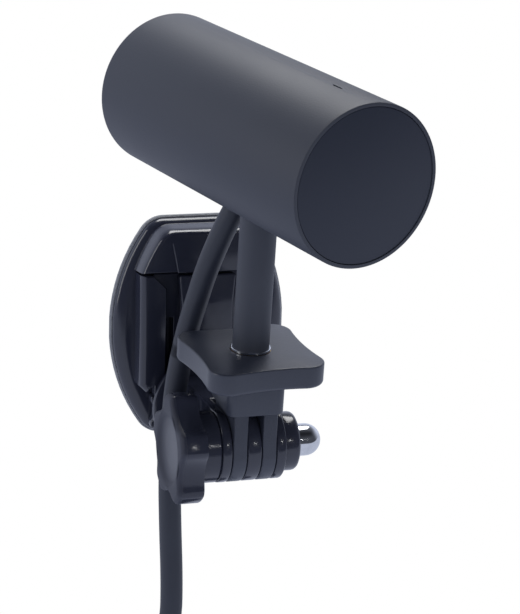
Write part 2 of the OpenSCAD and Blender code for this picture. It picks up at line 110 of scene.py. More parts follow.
upper_route = [
    (-2.2, -34.4, 33.1), (-2.79, -33.77, 31.39), (-3.84, -32.6, 28.45), (-4.83, -31.05, 24.87),
    (-5.78, -29.14, 20.74), (-6.52, -27.21, 16.6), (-7.1, -25.39, 12.47), (-7.74, -23.78, 8.4),
    (-8.35, -22.68, 4.78), (-8.85, -21.78, 1.26),
]
lower_route = [
    (-9.16, -21.18, -1.25), (-9.58, -20.65, -4.64), (-10.03, -20.22, -8.61),
    (-10.42, -20.14, -13.53), (-10.74, -20.34, -18.42), (-11.08, -20.73, -24.27),
    (-11.2, -21.06, -30.12), (-11.08, -21.24, -36.02), (-10.8, -21.1, -42), (-10.5, -21, -48),
    (-10.3, -20.8, -54), (-10.3, -20.4, -59), (-10.9, -19.5, -64), (-12.6, -18.6, -69),
    (-15.3, -17.7, -73.4), (-19.2, -16.9, -76.7),
]


def ease(t):
    """0 to 1 with level ends."""
    t = min(max(t, 0), 1)
    return t * t * (3 - 2 * t)


def coil_points():
    """Outer turns towards the wall, then inner turns back, from 120 to 1980 degrees."""
    points = []
    outer, crossing, whole = 900, 100, 1860
    for turned in range(0, whole + 1, 10):
        angle = math.radians(120 + turned)
        inward = ease((turned - outer) / crossing)
        r = coil_out + (coil_in - coil_out) * inward
        if turned <= outer:
            y = coil_y_start + (coil_y_wall - coil_y_start) * turned / outer
        else:
            homeward = max(turned - outer - crossing, 0) / (whole - outer - crossing)
            y = coil_y_wall + (coil_y_end - coil_y_wall) * homeward
        points.append((coil_x + r * math.cos(angle), y, coil_z + r * math.sin(angle)))
    return points


tail_x = coil_x - coil_in
tail_route = [(tail_x, coil_y_end, z) for z in range(-107, -143, -5)]


def smooth_path(points, step):
    """A Catmull-Rom curve in metres through points in millimetres, about a step apart."""
    p = [Vector(q) * MM for q in points]
    p = [p[0] * 2 - p[1], *p, p[-1] * 2 - p[-2]]
    path = []
    for a, b, c, d in zip(p, p[1:], p[2:], p[3:]):
        count = max(1, round((c - b).length / step))
        for i in range(count):
            t = i / count
            path.append(
                0.5 * (2 * b + (c - a) * t + (2 * a - 5 * b + 4 * c - d) * t * t
                       + (3 * b - a - 3 * c + d) * t * t * t)
            )
    path.append(p[-2])
    return path


def swept_rings(path, r, sides):
    """Rings of points at a radius round a path, without twist."""
    rings = []
    tangent = (path[1] - path[0]).normalized()
    side = tangent.orthogonal().normalized()
    for i, centre in enumerate(path):
        ahead = path[min(i + 1, len(path) - 1)] - path[max(i - 1, 0)]
        ahead.normalize()
        side = (side - ahead * side.dot(ahead)).normalized()
        other = ahead.cross(side)
        rings.append([
            centre + r * (side * math.cos(t) + other * math.sin(t))
            for t in (2 * math.pi * k / sides for k in range(sides))
        ])
    return rings


def object_from(name, verts, faces, sharp=40):
    """A smooth-shaded mesh object whose edges over `sharp` degrees stay crisp."""
    mesh = bpy.data.meshes.new(name)
    mesh.from_pydata([tuple(v) for v in verts], [], faces)
    piece = bpy.data.objects.new(name, mesh)
    bpy.context.scene.collection.objects.link(piece)
    tidy_normals(piece, sharp)
    return piece


def tidy_normals(piece, sharp=40):
    """Merges doubles, turns the faces outwards and shades them smooth."""
    b = bmesh.new()
    b.from_mesh(piece.data)
    bmesh.ops.remove_doubles(b, verts=b.verts, dist=1e-7)
    bmesh.ops.recalc_face_normals(b, faces=b.faces)
    b.to_mesh(piece.data)
    b.free()
    for face in piece.data.polygons:
        face.use_smooth = True
    piece.data.set_sharp_from_angle(angle=math.radians(sharp))


def lofted(name, rings, sharp=40):
    """A closed skin over rings of equal count, with flat ends."""
    n = len(rings[0])
    faces = [
        (i * n + k, i * n + (k + 1) % n, (i + 1) * n + (k + 1) % n, (i + 1) * n + k)
        for i in range(len(rings) - 1)
        for k in range(n)
    ]
    faces += [tuple(range(n))[::-1], tuple((len(rings) - 1) * n + k for k in range(n))]
    return object_from(name, [v for ring in rings for v in ring], faces, sharp)


def linear(hex_colour):
    """An sRGB hex colour as linear RGBA."""
    value = [int(hex_colour[i:i + 2], 16) / 255 for i in (1, 3, 5)]
    return [v / 12.92 if v <= 0.04045 else ((v + 0.055) / 1.055) ** 2.4 for v in value] + [1]


def put(tree, kind, inputs=(), **settings):
    """Adds a node. An input is a value, an output socket, or a node for its first live output."""
    node = tree.nodes.new(kind)
    for key, value in settings.items():
        setattr(node, key, value)
    for key, value in dict(inputs).items():
        if isinstance(value, bpy.types.Node):
            value = next(output for output in value.outputs if output.enabled)
        if isinstance(value, bpy.types.NodeSocket):
            tree.links.new(value, node.inputs[key])
        else:
            node.inputs[key].default_value = value
    return node


def new_material(name):
    """An empty material and its tree, with object coordinates to hand."""
    material = bpy.data.materials.new(name)
    material.use_nodes = True
    tree = material.node_tree
    tree.nodes.clear()
    place = put(tree, "ShaderNodeTexCoord").outputs["Object"]
    return material, tree, place


def finish_material(tree, pattern, first, second, **sockets):
    """A surface whose colour runs from first to second with the pattern, and its output.
    Spaces in the names of sockets are written as underscores."""
    tone = put(tree, "ShaderNodeMix", {
        "Factor": pattern, "A": linear(first), "B": linear(second),
    }, data_type="RGBA")
    named = {key.replace("_", " "): value for key, value in sockets.items()}
    surface = put(tree, "ShaderNodeBsdfPrincipled", {"Base Color": tone, **named})
    put(tree, "ShaderNodeOutputMaterial", {"Surface": surface})


def dress(piece, material, body, slot, *nodes):
    """Gives a finished piece its one material and its body, and hides the nodes it replaces. The
    slot is not used.
    """
    piece.data.materials.clear()
    piece.data.materials.append(material)
    for face in piece.data.polygons:
        face.material_index = 0
    if body:
        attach(piece, body)
    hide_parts(*nodes)


# Extruded PVC: satin, with faint draw lines and a very slight waviness of the gloss
jacket, tree, place = new_material("extruded_pvc_jacket")
ripple = put(tree, "ShaderNodeTexNoise", {"Vector": place, "Scale": 900, "Detail": 3})
smudge = put(tree, "ShaderNodeTexNoise", {"Vector": place, "Scale": 120, "Detail": 4})
satin = put(tree, "ShaderNodeMapRange", {"Value": smudge, "To Min": 0.42, "To Max": 0.56})
raised = put(tree, "ShaderNodeBump", {"Height": ripple, "Strength": 0.12, "Distance": 0.0002})
finish_material(tree, smudge, "#262a36", "#2f3441", Roughness=satin, Normal=raised, IOR=1.5)

whole_path = smooth_path(upper_route + lower_route + coil_points() + tail_route, 1.8 * MM)
whole_rings = swept_rings(whole_path, cable_d / 2, 20)
join_at = Vector(upper_route[-1]) * MM
joint = min(range(len(whole_path)), key=lambda i: (whole_path[i] - join_at).length)

cable_top = lofted("cable_to_lock_nut", whole_rings[:joint + 2])
dress(cable_top, jacket, None, "cable_jacket", "cable_upper")
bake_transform(cable_top)

lead = lofted("cable_and_coil", whole_rings[joint:])
dress(lead, jacket, None, "cable_jacket", "cable_lower", "cable_coil", "cable_tail")
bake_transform(lead)


# === Coil tie ===
# A strip of hook-and-loop tape wrapped once round the coil's turns and pressed shut.
# Woven nylon, so dull, with a fine rib across the strip.
tie_width, tie_t = 9, 0.9
tie_angle = math.radians(79)


def tie_section():
    """The wrap's outline round the bundle: each corner's centre, a direction and its radius."""
    room, corner = 2.5, 2.4
    r0, r1 = coil_in - room, coil_out + room
    y0, y1 = coil_y_end - room, coil_y_wall + room
    line = []
    for r, y, start in ((r1, y1, 0), (r0, y1, 90), (r0, y0, 180), (r1, y0, 270)):
        cr = r - corner if r == r1 else r + corner
        cy = y - corner if y == y1 else y + corner
        for k in range(7):
            t = math.radians(start + 15 * k)
            line.append((cr, cy, math.cos(t), math.sin(t), corner))
    return line


def tie_rings():
    """Rings across the strip, each round the bundle, inner skin then outer skin."""
    rings = []
    for thick, reach in ((0.05, 0), (0.05, 1), (tie_t * 0.6, 1.02), (tie_t, 0.94),
                         (tie_t, 0), (tie_t, -0.94), (tie_t * 0.6, -1.02), (0.05, -1)):
        ring = []
        for cr, cy, along, across, corner in tie_section():
            r = cr + along * (corner + thick)
            y = cy + across * (corner + thick)
            slide = reach * tie_width / 2
            x = coil_x + r * math.cos(tie_angle) - slide * math.sin(tie_angle)
            z = coil_z + r * math.sin(tie_angle) + slide * math.cos(tie_angle)
            ring.append(Vector((x, y, z)) * MM)
        rings.append(ring)
    return rings


def ring_band(name, rings, sharp=40):
    """A closed band: the last ring joins the first, with no ends."""
    n, m = len(rings[0]), len(rings)
    faces = [
        (i * n + k, i * n + (k + 1) % n, ((i + 1) % m) * n + (k + 1) % n, ((i + 1) % m) * n + k)
        for i in range(m)
        for k in range(n)
    ]
    return object_from(name, [v for ring in rings for v in ring], faces, sharp)


# Woven nylon: dull, with fine ribs that catch the light in rows
tape, tree, place = new_material("woven_nylon_tape")
turned = put(tree, "ShaderNodeMapping", {
    "Vector": place, "Rotation": (0, -(math.pi / 2 - tie_angle), 0),
})
rib = put(tree, "ShaderNodeTexWave", {"Vector": turned, "Scale": 420, "Distortion": 1.5},
          bands_direction="X")
fuzz = put(tree, "ShaderNodeTexNoise", {"Vector": place, "Scale": 2600, "Detail": 4})
height = put(tree, "ShaderNodeMath", {0: rib.outputs["Fac"], 1: fuzz}, operation="ADD")
raised = put(tree, "ShaderNodeBump", {"Height": height, "Strength": 0.5, "Distance": 0.0003})
finish_material(tree, fuzz, "#101115", "#23252b", Roughness=0.92, Sheen_Weight=0.3, Normal=raised)
tie = ring_band("coil_tie_strip", tie_rings())
dress(tie, tape, "buckle", "tie_fabric", "coil_tie")

# === Plug on the cable's end ===
# A ribbed rubber boot moulded on the cable, a nickel-plated shell, and a knurled ring
# that turns on it. The insert and its four gold-plated pins are seen from below.
plug_top = Vector(tail_route[-1]) * MM


def turned_piece(name, profile, centre, sides=64, axis="Z"):
    """A lathe-turned solid from (radius, height) pairs in millimetres, ends closed."""
    spin = {
        "X": Matrix(((0, 0, 1), (0, 1, 0), (-1, 0, 0))),
        "Y": Matrix(((1, 0, 0), (0, 0, 1), (0, -1, 0))),
        "Z": Matrix.Identity(3),
    }[axis]
    rings = []
    for r, h in profile:
        r = max(r, 0.0005)
        rings.append([
            centre + spin @ Vector((r * math.cos(t), r * math.sin(t), h)) * MM
            for t in (2 * math.pi * k / sides for k in range(sides))
        ])
    return lofted(name, rings, 35)


boot_profile = [(2.42, 0)]
for i in range(6):
    z = -1.2 - 1.9 * i
    r = 3.3 + 0.3 * i
    boot_profile += [
        (r, z + 0.5), (r + 0.12, z), (r, z - 0.5), (r - 0.55, z - 0.75), (r - 0.55, z - 1.05),
    ]
boot_profile += [(5.1, -12.6), (5.2, -13.1), (5.15, -13.9), (4.9, -14)]

# Moulded silicone: dull and faintly mottled, with a pored skin and no clear glints
rubber, tree, place = new_material("moulded_silicone_rubber")
bloom_and_painted_reflection = put(tree, "ShaderNodeTexNoise", {"Vector": place, "Scale": 260, "Detail": 5})
pores = put(tree, "ShaderNodeTexNoise", {"Vector": place, "Scale": 3200, "Detail": 2})
raised = put(tree, "ShaderNodeBump", {"Height": pores, "Strength": 0.25, "Distance": 0.0001})
dull = put(tree, "ShaderNodeMapRange", {"Value": bloom_and_painted_reflection, "To Min": 0.6, "To Max": 0.8})
finish_material(tree, bloom_and_painted_reflection, "#17181b", "#24262a", Roughness=dull, Normal=raised)
boot = turned_piece("plug_boot", boot_profile, plug_top)
dress(boot, rubber, "buckle", "seal_rubber", "connector_boot")

# Satin nickel on turned brass: warm grey, with turning lines that spread its glints
nickel, tree, place = new_material("satin_nickel_plate")
turning = put(tree, "ShaderNodeMapping", {"Vector": place, "Scale": (200, 200, 9000)})
lines = put(tree, "ShaderNodeTexNoise", {"Vector": turning, "Scale": 1, "Detail": 2})
haze = put(tree, "ShaderNodeTexNoise", {"Vector": place, "Scale": 400, "Detail": 3})
gloss = put(tree, "ShaderNodeMapRange", {"Value": haze, "To Min": 0.2, "To Max": 0.34})
raised = put(tree, "ShaderNodeBump", {"Height": lines, "Strength": 0.15, "Distance": 0.00005})
finish_material(tree, haze, "#b4b4ae", "#c9c8c0", Metallic=1.0, Roughness=gloss, Normal=raised)
shell_profile = [
    (4.2, -23.05), (4.2, -33.7), (4.45, -34), (4.8, -34), (5, -33.8), (5, -20.1), (6.2, -20),
    (6.4, -19.8), (6.4, -18.6), (6.1, -18.4), (6.1, -16.2), (6.4, -16), (6.4, -14.3),
    (6.15, -14.05), (3, -14.05), (3, -22.8),
]
shell = turned_piece("plug_shell", shell_profile, plug_top)
dress(shell, nickel, "buckle", "nickel_shell", "connector_shell")


def group_input(tree, name, kind, value):
    """A named input of a Geometry Nodes tree, and its identifier."""
    item = tree.interface.new_socket(name, in_out="INPUT", socket_type=kind)
    if value is not None:
        item.default_value = value
    return item.identifier


def baked(piece):
    """The evaluated piece as a plain mesh object with no modifiers, in its place."""
    graph = bpy.context.evaluated_depsgraph_get()
    graph.update()
    mesh = bpy.data.meshes.new_from_object(piece.evaluated_get(graph), depsgraph=graph)
    piece.modifiers.clear()
    old = piece.data
    piece.data = mesh
    bpy.data.meshes.remove(old)
    return piece


def ring_of_copies(name, seed_mesh_piece, count, radius, material):
    """Copies of a small solid set evenly round a circle, by Geometry Nodes."""
    tree = bpy.data.node_groups.new(name + "_tree", "GeometryNodeTree")
    tree.interface.new_socket("Geometry", in_out="OUTPUT", socket_type="NodeSocketGeometry")
    solid_id = group_input(tree, "Solid", "NodeSocketObject", None)
    count_id = group_input(tree, "Count", "NodeSocketInt", 12)
    radius_id = group_input(tree, "Radius", "NodeSocketFloat", 0.005)
    finish_id = group_input(tree, "Finish", "NodeSocketMaterial", None)
    sizes = put(tree, "NodeGroupInput").outputs
    circle = put(tree, "GeometryNodeMeshCircle", {
        "Vertices": sizes["Count"], "Radius": sizes["Radius"],
    })
    solid = put(tree, "GeometryNodeObjectInfo", {"Object": sizes["Solid"]})
    spot = put(tree, "GeometryNodeInputPosition")
    facing = put(tree, "FunctionNodeAlignEulerToVector", {"Vector": spot}, axis="X",
                 pivot_axis="Z")
    copies = put(tree, "GeometryNodeInstanceOnPoints", {
        "Points": circle,
        "Instance": solid.outputs["Geometry"],
        "Rotation": facing,
    })
    real = put(tree, "GeometryNodeRealizeInstances", {"Geometry": copies})
    painted = put(tree, "GeometryNodeSetMaterial", {"Geometry": real, "Material": sizes["Finish"]})
    put(tree, "NodeGroupOutput", {0: painted})
    holder = bpy.data.objects.new(name, bpy.data.meshes.new(name))
    bpy.context.scene.collection.objects.link(holder)
    modifier = holder.modifiers.new("copies", "NODES")
    modifier.node_group = tree
    modifier[solid_id] = seed_mesh_piece
    modifier[count_id] = count
    modifier[radius_id] = radius
    modifier[finish_id] = material
    baked(holder)
    bpy.data.objects.remove(seed_mesh_piece)
    return holder


def joined(name, parts, sharp=35):
    """Several pieces as one object, each keeping its place."""
    b = bmesh.new()
    for part in parts:
        b.from_mesh(part.data)
    mesh = bpy.data.meshes.new(name)
    b.to_mesh(mesh)
    b.free()
    for part in parts:
        bpy.data.objects.remove(part)
    piece = bpy.data.objects.new(name, mesh)
    bpy.context.scene.collection.objects.link(piece)
    tidy_normals(piece, sharp)
    return piece


ring_profile = [
    (5.1, -20.3), (6.5, -20.3), (6.8, -20.6), (6.8, -31.6), (6.5, -31.9), (5.4, -31.9),
    (5.1, -31.6),
]
origin = Vector((0, 0, 0))
ring_body = turned_piece("ring_body", ring_profile, origin)
ridge = object_from("ridge", [
    (x * MM, y * MM, z * MM)
    for z in (-30.8, -21.4)
    for x, y in ((-0.3, -0.28), (0.3, -0.1), (0.3, 0.1), (-0.3, 0.28))
], [(3, 2, 1, 0), (4, 5, 6, 7), (0, 1, 5, 4), (1, 2, 6, 5), (2, 3, 7, 6), (3, 0, 4, 7)])
ridges = ring_of_copies("ring_ridges", ridge, 36, 6.85 * MM, nickel)
ring_piece = joined("plug_turning_ring", [ring_body, ridges])
ring_piece.data.transform(Matrix.Translation(plug_top))
dress(ring_piece, nickel, "connector_ring", "nickel_shell", "connector_ring")

# A gold flash on brass: warm yellow, tarnished in faint patches
gilt, tree, place = new_material("gold_flash_on_brass")
tarnish = put(tree, "ShaderNodeTexNoise", {"Vector": place, "Scale": 700, "Detail": 3})
gloss = put(tree, "ShaderNodeMapRange", {"Value": tarnish, "To Min": 0.2, "To Max": 0.35})
finish_material(tree, tarnish, "#c39a45", "#dcb763", Metallic=1.0, Roughness=gloss)


def refinish(material, *nodes):
    """Gives a real finish to nodes that keep the shape they are designed with."""
    for node in nodes:
        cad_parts[node].data.materials.clear()
        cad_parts[node].data.materials.append(material)


refinish(gilt, "connector_pins", "lock_nut_insert", "sensor_spacers")
refinish(rubber, "connector_insert")

# === Adhesive pad ===
# Closed-cell foam tape cut to the plate's outline, a little proud of it all round.
# Dull grey, with the fine open cells that a die-cut edge shows.
plate_w, plate_h, side_r, corner_r = 39.2, 48.5, 38, 6
pad_t, floor_t, rail_h = 1.2, 2.2, 5.3


def arc(cx, cy, r, start, end, steps):
    """Points on an arc, between angles in degrees."""
    return [
        (cx + r * math.cos(t), cy + r * math.sin(t))
        for t in (math.radians(start + (end - start) * k / steps) for k in range(steps + 1))
    ]


def barrel(w, h, corner, less, low=None):
    """Level ends, bowed sides and round corners, all tangent, in X and Z, and made less
    all round. With low given, only what lies above that height."""
    zc = h / 2 - corner
    bow = side_r - w / 2
    xc = math.sqrt((side_r - corner) ** 2 - zc ** 2) - bow
    turn = math.degrees(math.asin(zc / (side_r - corner)))
    start = -turn if low is None else math.degrees(math.asin(low / (side_r - less)))
    line = (arc(-bow, 0, side_r - less, start, turn, 20)
            + arc(xc, zc, corner - less, turn, 90, 9)[1:])
    line += [(-x, z) for x, z in reversed(line)]
    if low is None:
        line = [q for q in line if q[1] > 0]
        line += [(-x, -z) for x, z in line]
    return line


def plate_outline(less):
    return barrel(plate_w, plate_h, corner_r, less)


def stacked(name, layers, sharp=30):
    """Outlines in X and Z at distances off the wall, skinned into one solid."""
    return lofted(name, [
        [Vector((x, -off, z)) * MM for x, z in outline] for outline, off in layers
    ], sharp)


# Closed-cell foam: pale grey and quite dull, with small round cells
foam, tree, place = new_material("die_cut_foam_tape")
cells = put(tree, "ShaderNodeTexVoronoi", {"Vector": place, "Scale": 2600})
mottle = put(tree, "ShaderNodeTexNoise", {"Vector": place, "Scale": 350, "Detail": 3})
raised = put(tree, "ShaderNodeBump", {"Height": cells, "Strength": 0.35, "Distance": 0.0002})
finish_material(tree, mottle, "#7d8087", "#999ba1", Roughness=0.85, Normal=raised)
pad = stacked("foam_pad", [
    (plate_outline(0.25), 0), (plate_outline(0.02), 0.25), (plate_outline(0), 0.6),
    (plate_outline(0.05), 0.95), (plate_outline(0.3), pad_t),
])
dress(pad, foam, "base", "pad_foam", "adhesive_pad")

# === Wall plate ===
# Polished black polycarbonate: a rounded floor, two undercut rails that the buckle
# slides between, and a bevelled end block that stops it.

# From a polished tool: blue-black gloss whose glints waver slightly and pick up dust
polished, tree, place = new_material("polished_black_polycarbonate")
swirl = put(tree, "ShaderNodeTexNoise", {"Vector": place, "Scale": 45, "Detail": 2})
dust = put(tree, "ShaderNodeTexNoise", {"Vector": place, "Scale": 1500, "Detail": 4})
sheen = put(tree, "ShaderNodeMapRange", {
    "Value": dust, "From Min": 0.35, "From Max": 0.75, "To Min": 0.12, "To Max": 0.22,
})
raised = put(tree, "ShaderNodeBump", {"Height": swirl, "Strength": 0.06, "Distance": 0.002})
finish_material(tree, swirl, "#2b2e3b", "#313443", Roughness=sheen, IOR=1.58, Normal=raised)

plate_front = pad_t + floor_t
rail_front = plate_front + rail_h
rail_in, rail_out, channel_x = 9, 14.6, 11.6
rail_top, rail_bottom, lip_t = 12.8, -13, 2
block_bottom, block_w, block_h, block_corner = 13.3, 34.7, 45.8, 5
edge_in, edge_down = 3, 1.9


def prism(name, outline, low, high, bevel, axis="Y"):
    """An outline pushed from low to high along an axis, with its edges rounded.
    The outline is (x, z) for Y, (y, z) for X and (x, y) for Z, in millimetres."""
    spot = {
        "X": lambda u, v, w: (w, u, v),
        "Y": lambda u, v, w: (u, w, v),
        "Z": lambda u, v, w: (u, v, w),
    }[axis]
    rings = [[Vector(spot(u, v, w)) * MM for u, v in outline] for w in (low, high)]
    piece = lofted(name, rings)
    round_edges(piece, bevel)
    return piece


def round_edges(piece, width):
    """Rounds the edges that turn by over 40 degrees; no width leaves them sharp."""
    if width <= 0:
        return
    modifier = piece.modifiers.new("round", "BEVEL")
    modifier.width = width * MM
    modifier.segments = 3
    modifier.limit_method = "ANGLE"
    modifier.angle_limit = math.radians(40)
    modifier.use_clamp_overlap = True
    baked(piece)
    tidy_normals(piece, 50)


def mirrored(outline):
    return [(-x, z) for x, z in reversed(outline)]


def pierced(piece, cutters):
    """Cuts the cutters out of the piece, and removes them."""
    for cutter in cutters:
        modifier = piece.modifiers.new("cut", "BOOLEAN")
        modifier.operation = "DIFFERENCE"
        modifier.solver = "EXACT"
        modifier.object = cutter
        baked(piece)
        bpy.data.objects.remove(cutter)
    tidy_normals(piece, 40)
    return piece


plate_floor = stacked("plate_floor", [
    (plate_outline(0.9), pad_t), (plate_outline(0.5), pad_t + 0.1),
    *[(plate_outline(0.5 + edge_in * (1 - math.cos(math.radians(a)))),
       plate_front - edge_down * (1 - math.sin(math.radians(a)))) for a in range(0, 91, 9)],
], 50)
end_block = stacked("end_block", [
    (barrel(block_w, block_h, block_corner, shrink, block_bottom + drop), rail_front - below)
    for shrink, drop, below in (
        (0, 0, rail_h + 0.1), (0.3, 0, 2.5), (0.45, 0, 1.4), (0.62, 0.03, 0.8),
        (0.85, 0.1, 0.35), (1.15, 0.22, 0.08), (1.5, 0.4, 0),
    )
], 50)
wedge_low, wedge_high = block_bottom + 0.35, 20
wedge_rings = []
for out, spread in ((-0.5, 0.25), (0.3, 0.25), (0.44, 0.18), (0.5, 0)):
    wedge_rings.append([Vector((x, -rail_front - off, z)) * MM for x, z, off in (
        (-6.5 - spread, wedge_low - spread, out), (6.5 + spread, wedge_low - spread, out),
        (7.75 + spread, wedge_high, min(out, 0) - 0.02 + 0.01 * out),
        (-7.75 - spread, wedge_high, min(out, 0) - 0.02 + 0.01 * out),
    )])
wedge = lofted("end_block_wedge", wedge_rings, 50)


def rail_layers(mirror):
    """One rail's outline off the wall, its outer edge rounded wide, its inner one fine."""
    layers, wide, fine = [], 1.5, 0.3
    for a in (None, *range(0, 91, 10)):
        turn = math.radians(a or 0)
        outer, down = wide * (1 - math.cos(turn)), wide * (1 - math.sin(turn))
        inner = fine * (1 - math.cos(turn)) if down < fine else 0
        line = [
            (rail_in + inner, rail_bottom + wide + inner),
            (channel_x, rail_bottom + wide + inner),
            (rail_out - wide - outer / 2, rail_bottom + outer),
            (rail_out - outer, rail_bottom + wide + outer / 2),
            (rail_out - outer, rail_top - inner), (rail_in + 3, rail_top - inner),
            (rail_in + inner, rail_top - 2.9),
        ]
        layers.append((mirrored(line) if mirror else line,
                       plate_front - 0.1 if a is None else rail_front - down))
    return layers


rail_parts = []
for side in ("left", "right"):
    channel = [(0, -30), (channel_x, -30), (channel_x, 30), (0, 30)]
    if side == "left":
        channel = mirrored(channel)
    rail = stacked("rail_" + side, rail_layers(side == "left"), 50)
    rail_parts.append(pierced(rail, [
        prism("channel", channel, -plate_front + 0.2, -rail_front + lip_t, 0),
    ]))
plate = joined("wall_plate", [plate_floor, end_block, wedge, *rail_parts], 40)
dress(plate, polished, "base", "black_gloss_moulding", "base_plate")

# === Slide-in buckle ===
# One polished moulding: a tongue with a raised panel in the rails, a round flange, a
# neck, three round fingers for the hinge, and a boss that holds the dome nut.
finger_r, slot_back = 7.5, 8.3
outer_x0, outer_x1, middle_x = 4.7, 6.8, 1.5
hinge_y, hinge_z = hinge.y / MM, hinge.z / MM
tongue_back, tongue_front = plate_front + 0.2, rail_front - 2.3
tongue_x, tongue_core_x, tongue_split = 11.4, 6.9, 3
tongue_top, tongue_bottom, panel_x = 12.7, -22, 5.8
flange_r, boss_r, boss_end = 12, 6.1, 10.4
screw_hole = 2.525


def rod(name, low, high, r):
    """A plain rod along X through the hinge, for cutting."""
    return turned_piece(name, [(r, low), (r, high)], hinge, 48, "X")


finger_outline = [
    *arc(hinge_y, hinge_z, finger_r, 90, 270, 40),
    (hinge_y + slot_back + 1, hinge_z - finger_r), (hinge_y + slot_back + 1, hinge_z + finger_r),
]
buckle_parts = []
for name, low, high in (
    ("finger_left", -outer_x1, -outer_x0), ("finger_middle", -middle_x, middle_x),
    ("finger_right", outer_x0, outer_x1),
):
    finger = prism(name, finger_outline, low, high, 0.4, "X")
    pierced(finger, [rod("drill", low - 1, high + 1, screw_hole)])
    buckle_parts.append(finger)

neck_far = -rail_front - 0.3
neck_outline = [
    (hinge_y + slot_back, hinge_z - finger_r), (neck_far, hinge_z - 5.5),
    (neck_far, hinge_z + finger_r), (hinge_y + slot_back, hinge_z + finger_r),
]
buckle_parts.append(prism("neck", neck_outline, -outer_x1, outer_x1, 0.8, "X"))
tongue_outline = [
    (-tongue_core_x, tongue_bottom), (tongue_core_x, tongue_bottom),
    (tongue_core_x, tongue_split), (tongue_x, tongue_split), (tongue_x, tongue_top),
    (-tongue_x, tongue_top), (-tongue_x, tongue_split), (-tongue_core_x, tongue_split),
]
buckle_parts.append(prism("tongue", tongue_outline, -tongue_back, -tongue_front, 0.3))
panel_outline = [
    (-panel_x, tongue_bottom), (panel_x, tongue_bottom), (panel_x, 6.3),
    (panel_x + 0.5, 12.2), (panel_x + 0.3, tongue_top), (-panel_x - 0.3, tongue_top),
    (-panel_x - 0.5, 12.2), (-panel_x, 6.3),
]
buckle_parts.append(prism("panel", panel_outline, -tongue_front + 0.2, -rail_front - 0.3, 0.5))
buckle_parts.append(turned_piece(
    "flange", [
        (flange_r - 0.5, -rail_front - 0.3), (flange_r, -rail_front - 0.6),
        (flange_r, -rail_front - 1.2), (flange_r - 0.2, -rail_front - 1.6),
        (flange_r - 0.7, -rail_front - 1.8),
    ], Vector((0, 0, hinge_z * MM)), 96, "Y",
))
boss = turned_piece("boss", [
    (boss_r - 0.1, outer_x1 - 0.5), (boss_r, outer_x1 + 0.4), (boss_r, boss_end - 1),
    (boss_r - 0.1, boss_end - 0.55), (boss_r - 0.35, boss_end - 0.2), (boss_r - 0.75, boss_end),
], hinge, 96, "X")
hexagon_r, hex_play = 4.5, 0.12
hex_bore = arc(hinge_y, hinge_z, hexagon_r + hex_play, 30, 330, 5)
pierced(boss, [prism("hex_cut", hex_bore, 7.15, 13, 0, "X"), rod("drill", 6, 9, screw_hole)])
buckle_parts.append(boss)
buckle = joined("slide_in_buckle", buckle_parts, 40)
dress(buckle, polished, "buckle", "black_gloss_moulding", "slide_buckle")

# === Latches ===
# Two springy beams moulded with the buckle, beside its tongue. Each ends in a pad with
# a hollow for a fingertip.
for side in ("left", "right"):
    beam = [(8.9, -20.8), (10.8, -20.8), (10.8, 2.7), (8.9, 2.7)]
    grip = [
        (9.5, -21.6), (11.4, -21.6), (11.5, -21.1), *arc(14.7, -18, 4, 216, 144, 12),
        (11.5, -14.9), (11.4, -14.4), (9.5, -14.4),
    ]
    if side == "left":
        beam, grip = mirrored(beam), mirrored(grip)
    latch = joined("latch_beam_" + side, [
        prism("beam", beam, -tongue_back, -tongue_front, 0.3),
        prism("grip", grip, -tongue_back, -tongue_front, 0.4),
    ], 40)
    dress(latch, polished, "latch_" + side, "black_gloss_moulding", "latch_" + side)

# === Thumbscrew ===
# A polished knob with five round lobes, dished on its outer face with a raised lip,
# moulded on a steel screw. Its collar bears on the outer finger.
knob_out, knob_in, knob_collar = -16.5, -10.7, -6.9
knob_tip_r, knob_lobe_r, knob_valley_r, knob_phase = 11.9, 3.2, 9.1, 160
knob_r, dish_r = 11.5, 7.5


def lobed(lobes, r_tip, r_lobe, r_valley, phase, steps=20):
    """Round lobes joined by hollow arcs, as points round the origin."""
    half = math.pi / lobes
    reach = r_tip - r_lobe
    a, b = reach * math.sin(half), reach * math.cos(half)
    k = r_valley - b
    hollow = (k * k + a * a - r_lobe ** 2) / (2 * (r_lobe - k))
    q = r_valley + hollow
    lobe_span = math.atan2(q * math.sin(half), q * math.cos(half) - reach)
    hollow_span = math.atan2(a, q - b)
    line = []
    for i in range(lobes):
        for j in range(steps + 1):
            t = lobe_span * (2 * j / steps - 1)
            line.append((reach + r_lobe * math.cos(t), r_lobe * math.sin(t), 2 * i * half))
        for j in range(1, steps):
            t = math.pi + hollow_span * (1 - 2 * j / steps)
            line.append((q + hollow * math.cos(t), hollow * math.sin(t), (2 * i + 1) * half))
    turn = math.radians(phase)
    return [
        (x * math.cos(t + turn) - y * math.sin(t + turn),
         x * math.sin(t + turn) + y * math.cos(t + turn))
        for x, y, t in line
    ]


def scaled_to(outline, blend, r):
    """The outline moved towards a circle of radius r, wholly at blend 1."""
    shares = [(1 - blend) + blend * r / math.hypot(u, v) for u, v in outline]
    return [(u * share, v * share) for (u, v), share in zip(outline, shares)]


def inset(outline, amount):
    """The outline moved inwards, straight towards the origin."""
    shares = [1 - amount / math.hypot(u, v) for u, v in outline]
    return [(u * share, v * share) for (u, v), share in zip(outline, shares)]


def flattened(outline, r):
    """The outline cut back to a circle, which leaves crisp corners on each lobe."""
    shares = [min(1, r / math.hypot(u, v)) for u, v in outline]
    return [(u * share, v * share) for (u, v), share in zip(outline, shares)]


